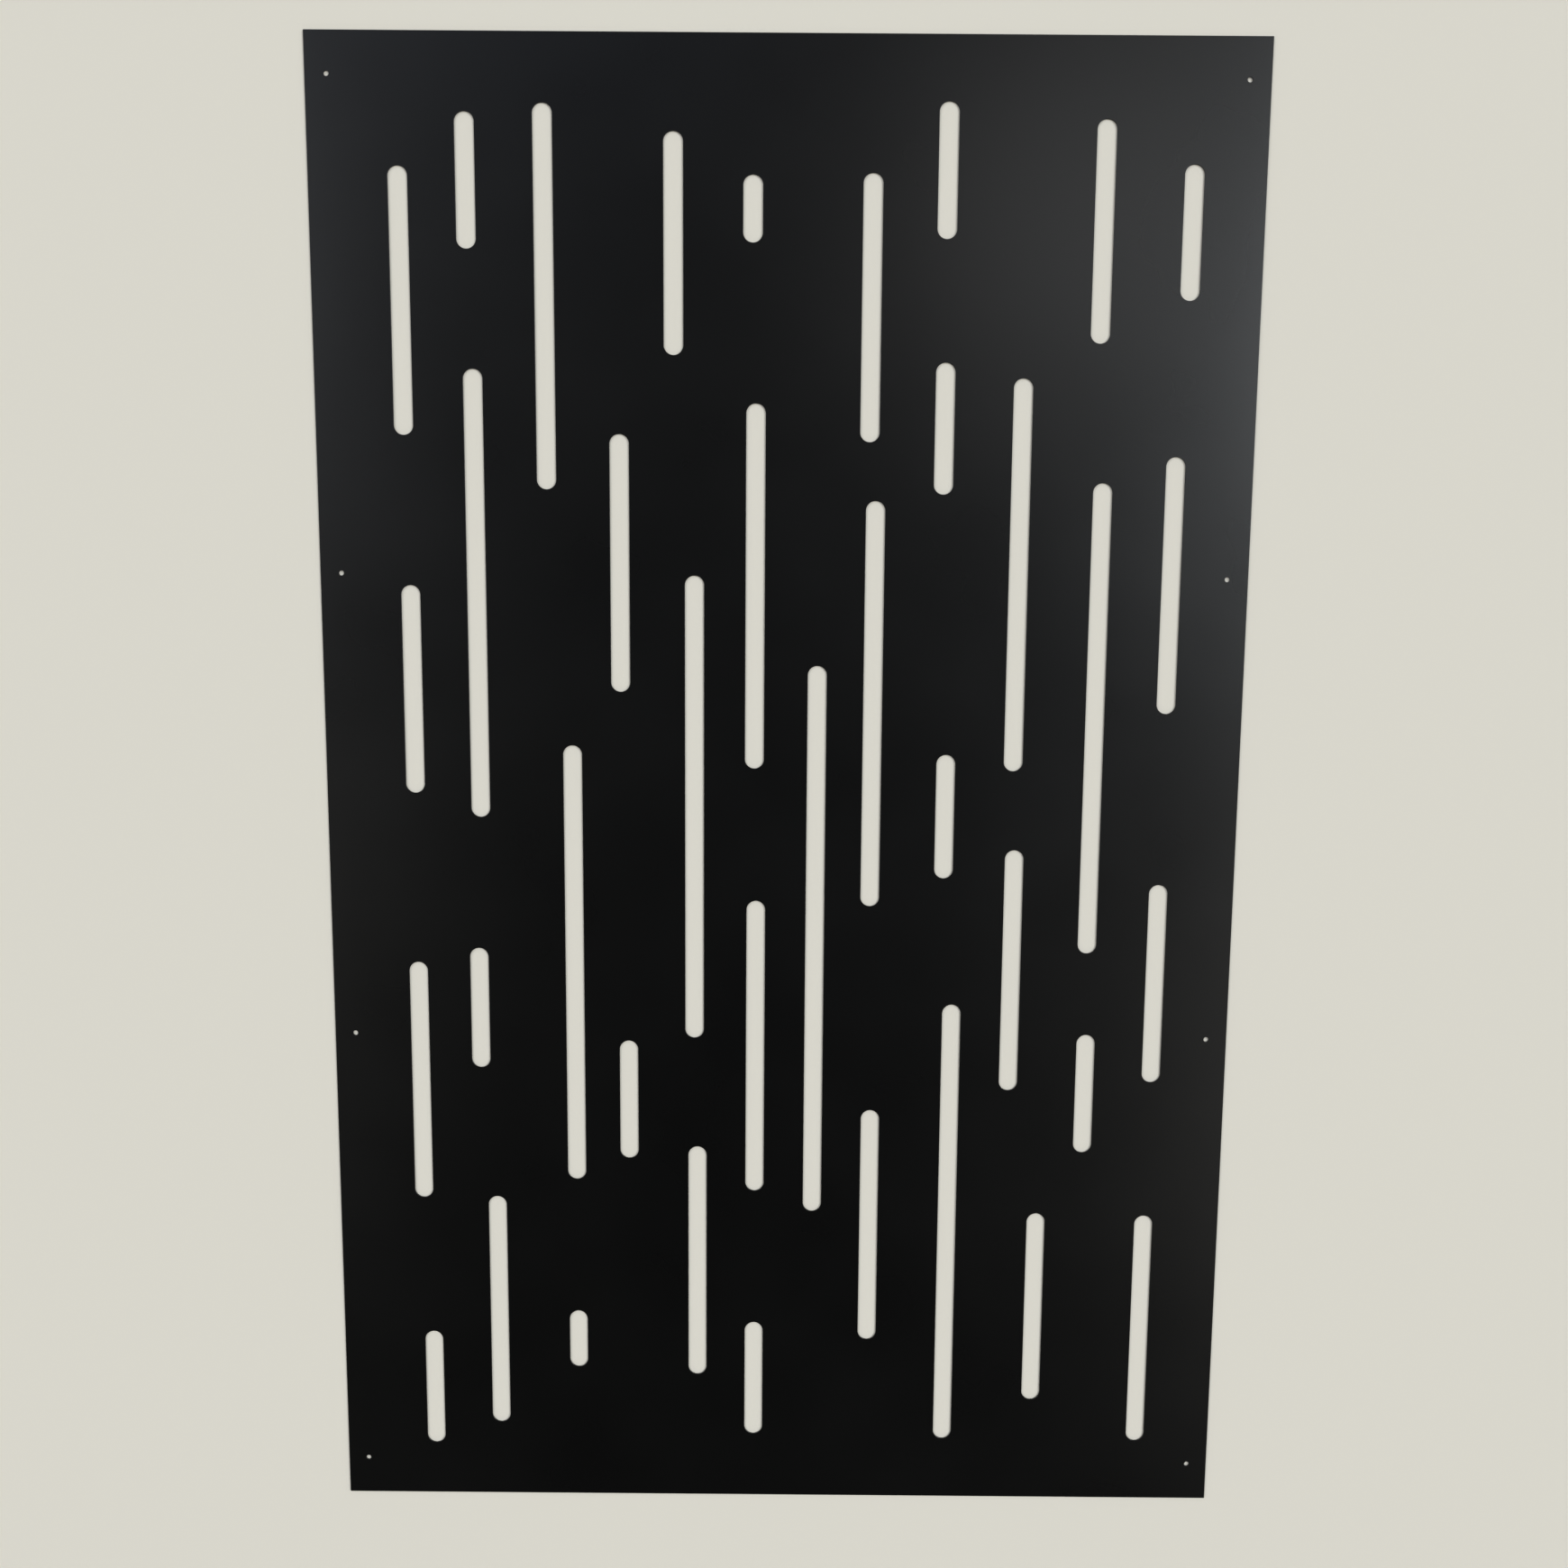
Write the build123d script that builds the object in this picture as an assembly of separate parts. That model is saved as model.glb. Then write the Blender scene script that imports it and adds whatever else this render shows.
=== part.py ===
import os

from build123d import *

# One sheet of steel, cut through with staggered lengthwise slots and a row of fixing holes
# down each long edge. It lies flat with its front up: +X runs across the width, +Y along
# the length to the top edge, +Z out of the front. The origin is at the centre of the back.
# Millimetres.

sheet_width = 1220
sheet_length = 1970
sheet_thickness = 2

# Clearance holes for M6 screws
hole_diameter = 6.5
hole_from_side = 27.5
hole_from_end = 52
holes_down_each_side = 4
hole_row_spacing = sheet_width - 2 * hole_from_side
hole_pitch = (sheet_length - 2 * hole_from_end) / (holes_down_each_side - 1)

# Every slot has the same width and full half-round ends
slot_width = 25

# Overall lengths that recur among the slots
stub = 83
short = 167
medium = 275
long = 334

# The slots stand in loose columns, from the left edge to the right, and each column is listed
# from the top down: the distance of the slot's centre line from the left edge, the distance
# of its upper end from the top edge, and its overall length.
slot_columns = [
    [(114, 162, long), (118, 689, medium), (116, 1196, long), (125, 1727, short)],
    [(200, 96, short), (205, 412, 584), (199, 1176, short), (218, 1528, long)],
    [(299, 85, 479), (329, 899, 603), (329, 1695, stub)],
    [(394, 493, long), (402, 1304, short)],
    [(465, 118, medium), (492, 674, 625), (496, 1454, long)],
    [(567, 170, stub), (572, 453, 475), (575, 1108, 409), (575, 1710, short)],
    [(655, 791, 755)],
    [(720, 167, long), (729, 576, 538), (734, 1400, long)],
    [(815, 80, short), (817, 400, short), (828, 908, short), (843, 1250, 632)],
    [(918, 419, 510), (923, 1036, long), (967, 1547, medium)],
    [(1015, 100, medium), (1025, 551, 626), (1028, 1291, short)],
    [(1128, 154, short), (1119, 517, long), (1119, 1082, medium), (1117, 1549, long)],
]
slots = [slot for column in slot_columns for slot in column]


def slot_centre(from_left, from_top, length):
    return from_left - sheet_width / 2, sheet_length / 2 - from_top - length / 2


with BuildPart() as sheet:
    with BuildSketch():
        Rectangle(sheet_width, sheet_length)
        with GridLocations(hole_row_spacing, hole_pitch, 2, holes_down_each_side):
            Circle(hole_diameter / 2, mode=Mode.SUBTRACT)
        for from_left, from_top, length in slots:
            with Locations(slot_centre(from_left, from_top, length)):
                SlotOverall(length, slot_width, rotation=90, mode=Mode.SUBTRACT)
    extrude(amount=sheet_thickness)

open_share = 1 - sheet.part.volume / (sheet_width * sheet_length * sheet_thickness)
print(f"{len(slots)} slots, {2 * holes_down_each_side} fixing holes, {open_share:.1%} open")

os.makedirs("parts", exist_ok=True)
export_step(sheet.part, "parts/perforated_sheet.step")
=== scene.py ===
import math

import bpy
import numpy as np
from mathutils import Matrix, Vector
from mathutils.geometry import delaunay_2d_cdt


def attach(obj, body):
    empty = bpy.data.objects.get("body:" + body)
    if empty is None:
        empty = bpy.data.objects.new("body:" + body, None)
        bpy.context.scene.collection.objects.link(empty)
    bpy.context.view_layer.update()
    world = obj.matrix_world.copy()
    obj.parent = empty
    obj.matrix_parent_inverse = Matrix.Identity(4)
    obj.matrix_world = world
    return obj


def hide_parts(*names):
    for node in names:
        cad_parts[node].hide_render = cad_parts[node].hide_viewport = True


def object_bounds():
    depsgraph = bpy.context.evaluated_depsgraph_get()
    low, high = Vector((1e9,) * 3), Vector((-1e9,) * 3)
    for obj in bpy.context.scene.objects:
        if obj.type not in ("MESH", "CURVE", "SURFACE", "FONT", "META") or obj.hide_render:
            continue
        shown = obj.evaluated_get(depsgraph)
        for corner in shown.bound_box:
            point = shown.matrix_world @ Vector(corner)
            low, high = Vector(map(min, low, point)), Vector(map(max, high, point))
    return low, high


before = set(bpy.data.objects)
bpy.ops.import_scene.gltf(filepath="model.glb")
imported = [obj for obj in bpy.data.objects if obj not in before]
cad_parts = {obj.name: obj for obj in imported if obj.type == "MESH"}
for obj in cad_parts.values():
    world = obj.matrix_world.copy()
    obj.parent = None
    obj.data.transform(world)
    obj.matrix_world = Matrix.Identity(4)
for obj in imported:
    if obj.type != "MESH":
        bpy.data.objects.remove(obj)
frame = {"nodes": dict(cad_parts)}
cadLow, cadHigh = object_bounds()
print("Frame:", ", ".join(frame["nodes"]))


def linearColour(hexCode):
    # sRGB hex to linear light
    srgb = np.array([int(hexCode[i:i + 2], 16) for i in (1, 3, 5)]) / 255
    linear = np.where(srgb <= 0.04045, srgb / 12.92, ((srgb + 0.055) / 1.055) ** 2.4)
    return (*linear.tolist(), 1.0)


def addNode(tree, kind, inputs=None, **settings):
    # One node with its settings; an input is a value, or a socket that it is linked to
    node = tree.nodes.new(kind)
    for name, value in settings.items():
        setattr(node, name, value)
    for name, value in (inputs or {}).items():
        if isinstance(value, bpy.types.NodeSocket):
            tree.links.new(value, node.inputs[name])
        else:
            node.inputs[name].default_value = value
    return node


# The sheet: laser-cut steel, deburred, then powder coated all over. Metres.
sheetLook = {
    "node": "perforated_sheet",
    "body": "root",
    "slot": "black_powder_coat",
    "lipRadius": 0.0004,     # deburring and the coat together round every cut edge this much
    "lipSteps": 5,           # faces across each rounded lip
    "cornerRadius": 0.0008,  # the four corners are only broken with a file
    "cornerSteps": 6,        # faces in each quarter of a corner
    "endSteps": 20,          # faces in each quarter of a slot end or a fixing hole
}


def frontOutlines(node, grid=1e-6):
    # The rims of the CAD sheet's front face, the sheet's own outline first. Weld the loose triangles
    # and keep the front face's: a side that no neighbour runs back along lies on a rim. Each rim
    # point takes the lowest number met by jumping ahead round its rim, twice as far each time, so
    # that one number names one rim.
    mesh = node.data
    points = np.empty(len(mesh.vertices) * 3, np.float32)
    mesh.vertices.foreach_get("co", points)
    corners = np.empty(len(mesh.loops), np.int32)
    mesh.loops.foreach_get("vertex_index", corners)
    cells = np.round(points.reshape(-1, 3) / grid).astype(np.int64)
    cells, weld = np.unique(cells, axis=0, return_inverse=True)
    triangles = weld.reshape(-1)[corners].reshape(-1, 3)
    front = triangles[(cells[triangles][:, :, 2] == cells[:, 2].max()).all(axis=1)]
    start, end = front.ravel(), np.roll(front, -1, axis=1).ravel()
    count = len(cells)
    onRim = ~np.isin(start * count + end, end * count + start)
    ahead = np.arange(count)
    ahead[start[onRim]] = end[onRim]
    rim = np.arange(count)
    for _ in range(count.bit_length()):
        rim = np.minimum(rim, rim[ahead])
        ahead = ahead[ahead]
    rimPoints = start[onRim]
    names = rim[rimPoints]
    outlines = [cells[rimPoints[names == name], :2] * grid for name in np.unique(names)]
    return sorted(outlines, key=lambda outline: outline[:, 0].min())


def cutOutBox(outline):
    # The facets of a half round fall a little short of its end, which is a radius beyond the end of
    # the straight side. A round hole's side is a single point.
    low, high = outline.min(axis=0), outline.max(axis=0)
    radius = (high[0] - low[0]) / 2
    side = outline[np.isclose(outline[:, 0], low[0]), 1]
    return np.array([low[0], side.min() - radius]), np.array([high[0], side.max() + radius])


def roundedLoop(low, high, radius, steps, cutOut):
    # A rectangle with rounded corners: a quarter circle of the radius about each corner's centre.
    # It runs anticlockwise round the sheet and clockwise round a cut-out, so the steel is on its
    # left. The second array points away from the steel, square to the path.
    quarter = np.linspace(0, math.pi / 2, steps + 1)
    angle = (np.arange(4)[:, None] * math.pi / 2 + quarter).ravel()
    side = np.repeat([[1, 1], [-1, 1], [-1, -1], [1, -1]], steps + 1, axis=0)
    spoke = np.stack([np.cos(angle), np.sin(angle)], axis=1)
    path = (low + high) / 2 + side * ((high - low) / 2 - radius) + radius * spoke
    sameSpot = 1e-7
    fresh = np.linalg.norm(path - np.roll(path, 1, axis=0), axis=1) > sameSpot
    path, spoke = path[fresh], spoke[fresh]
    return (path[::-1], -spoke[::-1]) if cutOut else (path, spoke)


def rimSurface(path, away, bottom, top, look):
    # The edge's profile carried along the path: a quarter round from the front face to the wall,
    # the wall, and a quarter round to the back. Turn runs from 0 at the front to 180 degrees at
    # the back; a point is a lip radius from its lip's centre, and its normal points the same way.
    radius, steps = look["lipRadius"], look["lipSteps"]
    quarter = np.linspace(0, math.pi / 2, steps + 1)
    turn = np.concatenate([quarter, quarter + math.pi / 2])
    centre = np.repeat([top - radius, bottom + radius], steps + 1)
    inset = radius * (np.sin(turn) - 1)
    rows, columns = len(turn), len(path)
    points = np.empty((rows, columns, 3))
    points[..., :2] = path + inset[:, None, None] * away
    points[..., 2] = (centre + radius * np.cos(turn))[:, None]
    normals = np.empty_like(points)
    normals[..., :2] = np.sin(turn)[:, None, None] * away
    normals[..., 2] = np.cos(turn)[:, None]
    # Quads between each row and the next, closed round the loop
    row = np.arange(rows - 1)[:, None]
    column = np.arange(columns)[None, :]
    following = (column + 1) % columns
    quads = np.stack([row * columns + column, (row + 1) * columns + column,
                      (row + 1) * columns + following, row * columns + following], axis=-1)
    # The piece's own map on a rim: distance along the cut, and distance across its profile
    run = np.concatenate([[0], np.cumsum(np.linalg.norm(np.roll(path, -1, axis=0) - path, axis=1))])
    profile = points[:, 0]
    across = np.concatenate([[0], np.cumsum(np.linalg.norm(np.diff(profile, axis=0), axis=1))])
    along = np.broadcast_to(np.stack([run[column], run[column], run[column + 1], run[column + 1]], axis=-1),
                            quads.shape)
    down = np.broadcast_to(np.stack([across[row], across[row + 1], across[row + 1], across[row]], axis=-1),
                           quads.shape)
    cutRun = np.stack([along, down], axis=-1).reshape(-1, 2)
    wall = np.repeat(np.sin(turn), columns)
    return points.reshape(-1, 3), normals.reshape(-1, 3), quads.reshape(-1, 4), cutRun, wall


def flatFace(loops):
    # Triangles between the rims' first rows, anticlockwise from above. The first loop is the
    # outline; the others bulge outwards all round, so a triangle with all its points on one of
    # them lies in that cut-out and is left out.
    points = np.concatenate(loops)
    starts = np.cumsum([0] + [len(loop) for loop in loops])
    edges = np.concatenate([np.stack([np.arange(a, b), np.roll(np.arange(a, b), -1)], axis=1)
                            for a, b in zip(starts[:-1], starts[1:])])
    insideOutline, sameSpot = 1, 1e-9
    made = delaunay_2d_cdt(points.tolist(), edges.tolist(), [], insideOutline, sameSpot)
    if len(made[0]) != len(points):
        raise ValueError("the flat face gained or lost points")
    triangles = np.array(made[2])
    rim = np.repeat(np.arange(len(loops)), [len(loop) for loop in loops])[triangles]
    inCutOut = (rim[:, 0] > 0) & (rim[:, 0] == rim[:, 1]) & (rim[:, 1] == rim[:, 2])
    return triangles[~inCutOut]


def coatedSheet(look):
    # The whole skin of the sheet: a rim for the outline and for each cut-out, and the two flat
    # faces between them, joined through shared points
    bottom, top = cadLow.z, cadHigh.z
    outline, *cutOuts = frontOutlines(frame["nodes"][look["node"]])
    boxes = [(outline.min(axis=0), outline.max(axis=0))] + [cutOutBox(cutOut) for cutOut in cutOuts]
    points, normals, walls, quads, maps, loops, count = [], [], [], [], [], [], 0
    for index, (low, high) in enumerate(boxes):
        cutOut = index > 0
        radius = min(high - low) / 2 if cutOut else look["cornerRadius"]
        steps = look["endSteps"] if cutOut else look["cornerSteps"]
        path, away = roundedLoop(low, high, radius, steps, cutOut)
        rimPoints, rimNormals, rimQuads, rimMap, rimWall = rimSurface(path, away, bottom, top, look)
        loops.append((count, len(path), len(rimPoints)))
        points.append(rimPoints)
        normals.append(rimNormals)
        walls.append(rimWall)
        quads.append(rimQuads + count)
        maps.append(rimMap)
        count += len(rimPoints)
    points, normals, walls = np.concatenate(points), np.concatenate(normals), np.concatenate(walls)
    frontRows = np.concatenate([start + np.arange(size) for start, size, _ in loops])
    backRows = np.concatenate([start + total - size + np.arange(size) for start, size, total in loops])
    triangles = flatFace([points[start:start + size, :2] for start, size, _ in loops])
    front, back = frontRows[triangles], backRows[triangles][:, ::-1]
    flat = np.concatenate([front, back])
    faces = np.concatenate(quads).tolist() + flat.tolist()
    cornerMap = np.concatenate(maps + [points[flat.ravel(), :2]])

    mesh = bpy.data.meshes.new("coated_sheet")
    mesh.from_pydata(points.tolist(), [], faces)
    mesh.polygons.foreach_set("use_smooth", np.ones(len(faces), bool))
    mesh.uv_layers.new(name="cutRun").data.foreach_set("uv", cornerMap.ravel())
    mesh.attributes.new("cutWall", "FLOAT", "POINT").data.foreach_set("value", walls)
    mesh.normals_split_custom_set_from_vertices(normals.tolist())
    mesh.validate()
    sheet = bpy.data.objects.new("coated_sheet", mesh)
    bpy.context.scene.collection.objects.link(sheet)
    print(f"Sheet: {len(cutOuts)} cut-outs, {len(faces)} faces")
    return sheet


# The coat: satin black polyester powder. Lengths in metres; each noise has its detail and roughness.
coatLook = {
    "black": "#060606",
    "thinBlack": "#080808",     # where the coat is thinnest
    "toneRange": (0.35, 0.7),   # the part of the patches' noise over which the one black turns to the other
    "roughness": (0.27, 0.29),  # from the glossiest patch to the flattest
    "glossRange": (0.3, 0.7),   # the part of the patches' noise over which the roughness rises
    "ior": 1.5,
    "patch": 0.22,              # spacing of the faint cloudy patches
    "patchNoise": (3.0, 0.45),
    "peel": 0.003,              # spacing of the orange peel
    "peelNoise": (1.0, 0.4),
    "peelHeight": 0.000025,
    "grain": 0.0012,            # powder grain is near 0.3 mm, drawn coarser so that it shows
    "grainNoise": (2.0, 0.6),
    "grainHeight": 0.000006,
    "striation": 0.0004,        # laser striations are near 0.2 mm apart, drawn coarser so that they show
    "striationLength": 0.017,   # far longer than the wall is high, so they run right across it
    "striationNoise": (1.0, 0.5),
    "striationHeight": 0.000012,
}


def blackPowderCoat(look):
    # Satin black polyester powder, sprayed and baked: an even, deep black with a soft sheen, a
    # little orange peel, and faint cloudy patches where the coat is thicker
    material = bpy.data.materials.new("blackPowderCoat")
    material.use_nodes = True
    tree = material.node_tree
    tree.nodes.clear()
    place = addNode(tree, "ShaderNodeTexCoord").outputs["Object"]
    detail, roughness = look["patchNoise"]
    cloud = addNode(tree, "ShaderNodeTexNoise", {
        "Vector": place, "Scale": 1 / look["patch"], "Detail": detail, "Roughness": roughness})
    tone = addNode(tree, "ShaderNodeValToRGB", {"Fac": cloud.outputs["Fac"]})
    ends = zip(tone.color_ramp.elements, look["toneRange"], (look["black"], look["thinBlack"]))
    for element, position, colour in ends:
        element.position = position
        element.color = linearColour(colour)
    (start, end), (low, high) = look["glossRange"], look["roughness"]
    gloss = addNode(tree, "ShaderNodeMapRange", {
        "Value": cloud.outputs["Fac"], "From Min": start, "From Max": end, "To Min": low, "To Max": high})

    detail, roughness = look["peelNoise"]
    peel = addNode(tree, "ShaderNodeTexNoise", {
        "Vector": place, "Scale": 1 / look["peel"], "Detail": detail, "Roughness": roughness})
    detail, roughness = look["grainNoise"]
    grain = addNode(tree, "ShaderNodeTexNoise", {
        "Vector": place, "Scale": 1 / look["grain"], "Detail": detail, "Roughness": roughness})
    peelBump = addNode(tree, "ShaderNodeBump", {
        "Height": peel.outputs["Fac"], "Distance": look["peelHeight"], "Strength": 1.0})
    grainBump = addNode(tree, "ShaderNodeBump", {
        "Height": grain.outputs["Fac"], "Distance": look["grainHeight"], "Strength": 1.0,
        "Normal": peelBump.outputs["Normal"]})

    # The laser's striations run across the cut wall, softened by the coat, and stop at the lips
    cutRun = addNode(tree, "ShaderNodeUVMap", uv_map="cutRun").outputs["UV"]
    stretched = addNode(tree, "ShaderNodeMapping", {
        "Vector": cutRun, "Scale": (1 / look["striation"], 1 / look["striationLength"], 1.0)})
    detail, roughness = look["striationNoise"]
    striation = addNode(tree, "ShaderNodeTexNoise", {
        "Vector": stretched.outputs["Vector"], "Scale": 1.0, "Detail": detail, "Roughness": roughness})
    wall = addNode(tree, "ShaderNodeAttribute", attribute_name="cutWall").outputs["Fac"]
    cutBump = addNode(tree, "ShaderNodeBump", {
        "Height": striation.outputs["Fac"], "Distance": look["striationHeight"], "Strength": wall,
        "Normal": grainBump.outputs["Normal"]})

    coat = addNode(tree, "ShaderNodeBsdfPrincipled", {
        "Base Color": tone.outputs["Color"], "Roughness": gloss.outputs["Result"], "IOR": look["ior"],
        "Metallic": 0.0, "Normal": cutBump.outputs["Normal"]})
    addNode(tree, "ShaderNodeOutputMaterial", {"Surface": coat.outputs["BSDF"]})
    print(f"Coat: satin black powder, roughness {low} to {high}")
    return material


floorLook = {
    "colour": "#DED9CD",  # a little redder than the room, as the cool windows take that away again
    "size": 80,           # metres across, so that its edge is far off in every view
}


def plainFloor(colour):
    material = bpy.data.materials.new("plainFloor")
    material.use_nodes = True
    tree = material.node_tree
    tree.nodes.clear()
    paint = addNode(tree, "ShaderNodeBsdfPrincipled", {
        "Base Color": linearColour(colour), "Roughness": 1.0, "Specular IOR Level": 0.0})
    addNode(tree, "ShaderNodeOutputMaterial", {"Surface": paint.outputs["BSDF"]})
    return material


def layFloor(look):
    half = look["size"] / 2
    mesh = bpy.data.meshes.new("floor")
    corners = [(-half, -half, 0), (half, -half, 0), (half, half, 0), (-half, half, 0)]
    mesh.from_pydata(corners, [], [(0, 1, 2, 3)])
    floor = bpy.data.objects.new("floor", mesh)
    bpy.context.scene.collection.objects.link(floor)
    floor.data.materials.append(plainFloor(look["colour"]))
    print("Floor laid")


roomLook = {
    "colour": "#D8D6CC",
    "horizonTop": 15,   # degrees up to which the room is as pale as the floor
    "ceilingFrom": 40,  # degrees up from which the room is dark
    # name: azimuth from +X towards +Y, elevation, width as seen (degrees), strength, colour
    "lamps": {
        "windowRight": (18, 45, 36, 2.05, "#F6FBFF"),
        "doorway": (-26, 45, 36, 0.33, "#FFFDF6"),
        "windowLeft": (156, 42, 36, 0.92, "#F4F8FF"),
        "passage": (194, 45, 36, 0.3, "#FFFDF6"),
        "farWindow": (107, 40, 36, 0.28, "#DCE8FF"),
        "ceilingLamp": (59, 66.5, 12, 0.055, "#FFFFFF"),
    },
}


def lightRoom(look):
    # The room is pale up to the horizon's top and fades to a dark ceiling; soft lamps stand in it
    world = bpy.data.worlds.new("room")
    world.use_nodes = True
    tree = world.node_tree
    tree.nodes.clear()
    direction = addNode(tree, "ShaderNodeTexCoord").outputs["Generated"]
    height = addNode(tree, "ShaderNodeSeparateXYZ", {"Vector": direction}).outputs["Z"]
    fade = addNode(tree, "ShaderNodeMapRange", {
        "Value": height, "From Min": math.sin(math.radians(look["horizonTop"])),
        "From Max": math.sin(math.radians(look["ceilingFrom"])), "To Min": 1.0, "To Max": 0.0},
        interpolation_type="SMOOTHSTEP")
    room = addNode(tree, "ShaderNodeBackground", {
        "Color": linearColour(look["colour"]), "Strength": fade.outputs["Result"]})
    addNode(tree, "ShaderNodeOutputWorld", {"Surface": room.outputs["Background"]})
    bpy.context.scene.world = world
    for name, (azimuth, elevation, width, strength, colour) in look["lamps"].items():
        lamp = bpy.data.lights.new(name, "SUN")
        lamp.energy = strength
        lamp.color = linearColour(colour)[:3]
        lamp.angle = math.radians(width)
        around, up = math.radians(azimuth), math.radians(elevation)
        towards = Vector((math.cos(up) * math.cos(around), math.cos(up) * math.sin(around), math.sin(up)))
        holder = bpy.data.objects.new(name, lamp)
        holder.rotation_euler = towards.to_track_quat("Z", "Y").to_euler()
        bpy.context.scene.collection.objects.link(holder)
    print(f"Room: {len(look['lamps'])} soft lamps")


# Metres, degrees, and millimetres for the lens and the sensor
viewpoint = {
    "location": (0.0034, 0.2008, 1.5707),
    "rotation": (-5.981, 0.102, 0.437),
    "lens": 27.04,
    "sensor": 36,
}


def placeCamera(look):
    camera = bpy.data.cameras.new("camera")
    camera.lens = look["lens"]
    camera.sensor_width = look["sensor"]
    holder = bpy.data.objects.new("camera", camera)
    holder.location = look["location"]
    holder.rotation_euler = [math.radians(angle) for angle in look["rotation"]]
    bpy.context.scene.collection.objects.link(holder)
    bpy.context.scene.camera = holder
    print("Camera placed")


sheet = coatedSheet(sheetLook)
sheet.data.materials.append(blackPowderCoat(coatLook))
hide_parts(sheetLook["node"])
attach(sheet, sheetLook["body"])

layFloor(floorLook)
lightRoom(roomLook)
placeCamera(viewpoint)
bpy.context.scene.view_settings.view_transform = "Standard"
